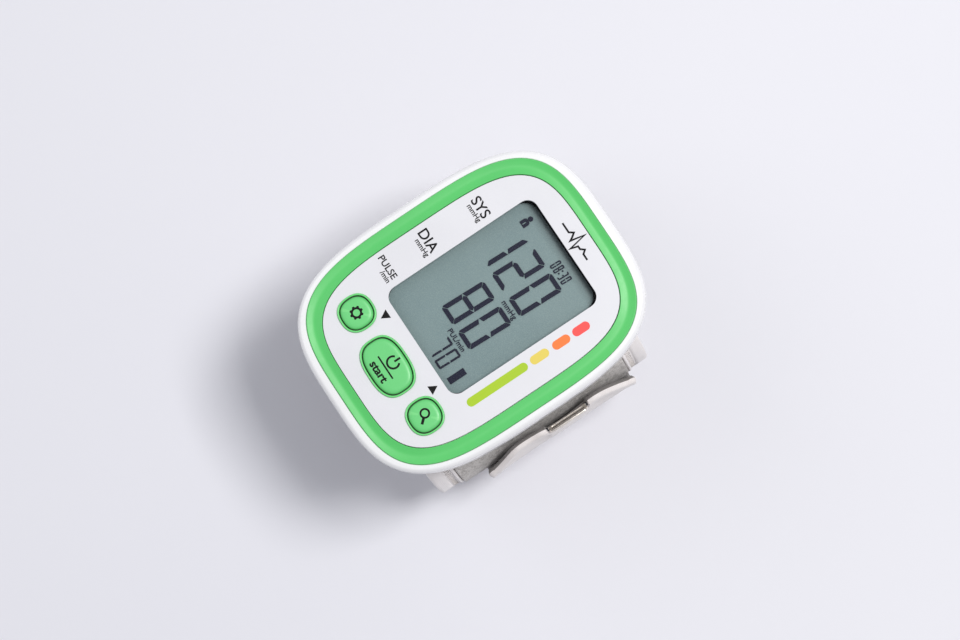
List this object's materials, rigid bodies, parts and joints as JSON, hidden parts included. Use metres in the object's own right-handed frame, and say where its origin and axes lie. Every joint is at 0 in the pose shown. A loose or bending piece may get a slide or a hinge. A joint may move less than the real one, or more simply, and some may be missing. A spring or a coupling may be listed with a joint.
{
  "type": "wrist blood pressure monitor",
  "caption": "Wrist blood pressure monitor: display housing with push buttons on a formed fabric cuff that opens at a hook-and-loop strap.",
  "frame": {"origin": "centre of the cuff's flat underside, where the closed monitor stands", "axes": "+X to the right as the display is read, +Y towards the hand (top of the display), +Z out of the display"},
  "size_m": [0.0715, 0.0872, 0.0721],
  "materials": {
    "housing_white": "smooth moulded ABS, satin gloss",
    "ring_green": "glossy moulded trim",
    "panel_white": "printed panel, fine matt",
    "lens_clear": "clear window",
    "collar_green": "satin",
    "key_green": "satin",
    "lcd": "reflective display glass",
    "frame_white": "plain moulded",
    "rubber_black": "matt",
    "board_green": "solder mask",
    "black_plastic": "plain moulded",
    "sensor_grey": "plain moulded",
    "steel": "plated",
    "can_metal": "plain can",
    "cell_can": "wrapped cell",
    "tube_silicone": "soft, translucent white",
    "nylon": "smooth off-white nylon",
    "loop_pile": "grey loop pile, mottled",
    "hook_tape": "hook tape",
    "lining_grey": "brushed lining",
    "plate_plastic": "formed sheet",
    "bladder_rubber": "welded film",
    "chrome": "bright plated wire"
  },
  "bodies": {
    "monitor": {"upper_housing": "housing_white", "lower_housing": "housing_white", "trim_ring": "ring_green", "face_panel": "panel_white", "display_lens": "lens_clear", "keypad_frame": "collar_green", "lcd_glass": "lcd", "lcd_frame": "frame_white", "battery_cradle": "frame_white", "cuff_rivet_1": "frame_white", "cuff_rivet_2": "frame_white", "air_manifold": "frame_white", "zebra_connector": "rubber_black", "main_pcb": "board_green", "controller_chip": "black_plastic", "buzzer": "black_plastic", "pump_head": "black_plastic", "pressure_sensor": "sensor_grey", "housing_screw_1": "steel", "housing_screw_2": "steel", "housing_screw_3": "steel", "housing_screw_4": "steel", "battery_spring_1": "steel", "battery_spring_2": "steel", "bridge_contact": "steel", "positive_contact": "steel", "negative_contact": "steel", "start_switch": "steel", "settings_switch": "steel", "memory_switch": "steel", "pump_motor": "can_metal", "release_valve": "can_metal", "battery_1": "cell_can", "battery_2": "cell_can", "pump_tube": "tube_silicone", "sensor_tube": "tube_silicone", "cuff_port": "tube_silicone", "cuff_cover": "nylon", "strap_base": "nylon", "cuff_lining": "lining_grey", "spring_plate": "plate_plastic", "air_bladder": "bladder_rubber"},
    "start_button": {"start_button": "key_green", "start_switch_plunger": "rubber_black"},
    "settings_button": {"settings_button": "key_green", "settings_switch_plunger": "rubber_black"},
    "memory_button": {"memory_button": "key_green", "memory_switch_plunger": "rubber_black"},
    "battery_door": {"battery_door": "housing_white"},
    "pump_shaft": {"pump_shaft": "steel"},
    "valve_plunger": {"valve_plunger": "black_plastic"},
    "right_arm": {"arm_cover": "nylon", "arm_spring_plate": "plate_plastic", "arm_lining": "lining_grey", "arm_pile": "loop_pile", "piping_elbow": "nylon", "piping_hand": "nylon"},
    "closure_strap": {"closure_strap": "nylon", "hook_patch": "hook_tape"},
    "pull_ring": {"pull_ring": "chrome"}
  },
  "joints": [
    {"name": "start_press", "type": "slide", "parent": "monitor", "child": "start_button", "axis": [0, 0, -1], "range_m": [0, 0.0006], "stiffness_N_per_m": 1500},
    {"name": "settings_press", "type": "slide", "parent": "monitor", "child": "settings_button", "axis": [0, 0, -1], "range_m": [0, 0.0006], "stiffness_N_per_m": 1500},
    {"name": "memory_press", "type": "slide", "parent": "monitor", "child": "memory_button", "axis": [0, 0, -1], "range_m": [0, 0.0006], "stiffness_N_per_m": 1500},
    {"name": "door_pull", "type": "slide", "parent": "monitor", "child": "battery_door", "axis": [-1, 0, 0], "range_m": [0, 0.015]},
    {"name": "pump_spin", "type": "hinge", "parent": "monitor", "child": "pump_shaft", "pos_m": [0.019, 0, 0.0568], "axis": [0, 1, 0], "continuous": true},
    {"name": "valve_close", "type": "slide", "parent": "monitor", "child": "valve_plunger", "axis": [0, -1, 0], "range_m": [0, 0.0006], "stiffness_N_per_m": 300},
    {"name": "strap_open", "type": "hinge", "parent": "monitor", "child": "closure_strap", "pos_m": [0.02974, 0.00325, 0.00717], "axis": [0, 1, 0], "range_deg": [0, 80]},
    {"name": "arm_flex", "type": "hinge", "parent": "monitor", "child": "right_arm", "pos_m": [0.02988, -0.0005, 0.04111], "axis": [0, -1, 0], "range_deg": [0, 24]},
    {"name": "ring_swing", "type": "hinge", "parent": "closure_strap", "child": "pull_ring", "pos_m": [0.0357, 0.0058, 0.0401], "axis": [0, 1, 0], "range_deg": [0, 80]}
  ],
  "couplings": [
    {"joint": "arm_flex", "follows": "strap_open", "ratio": 0.3}
  ]
}
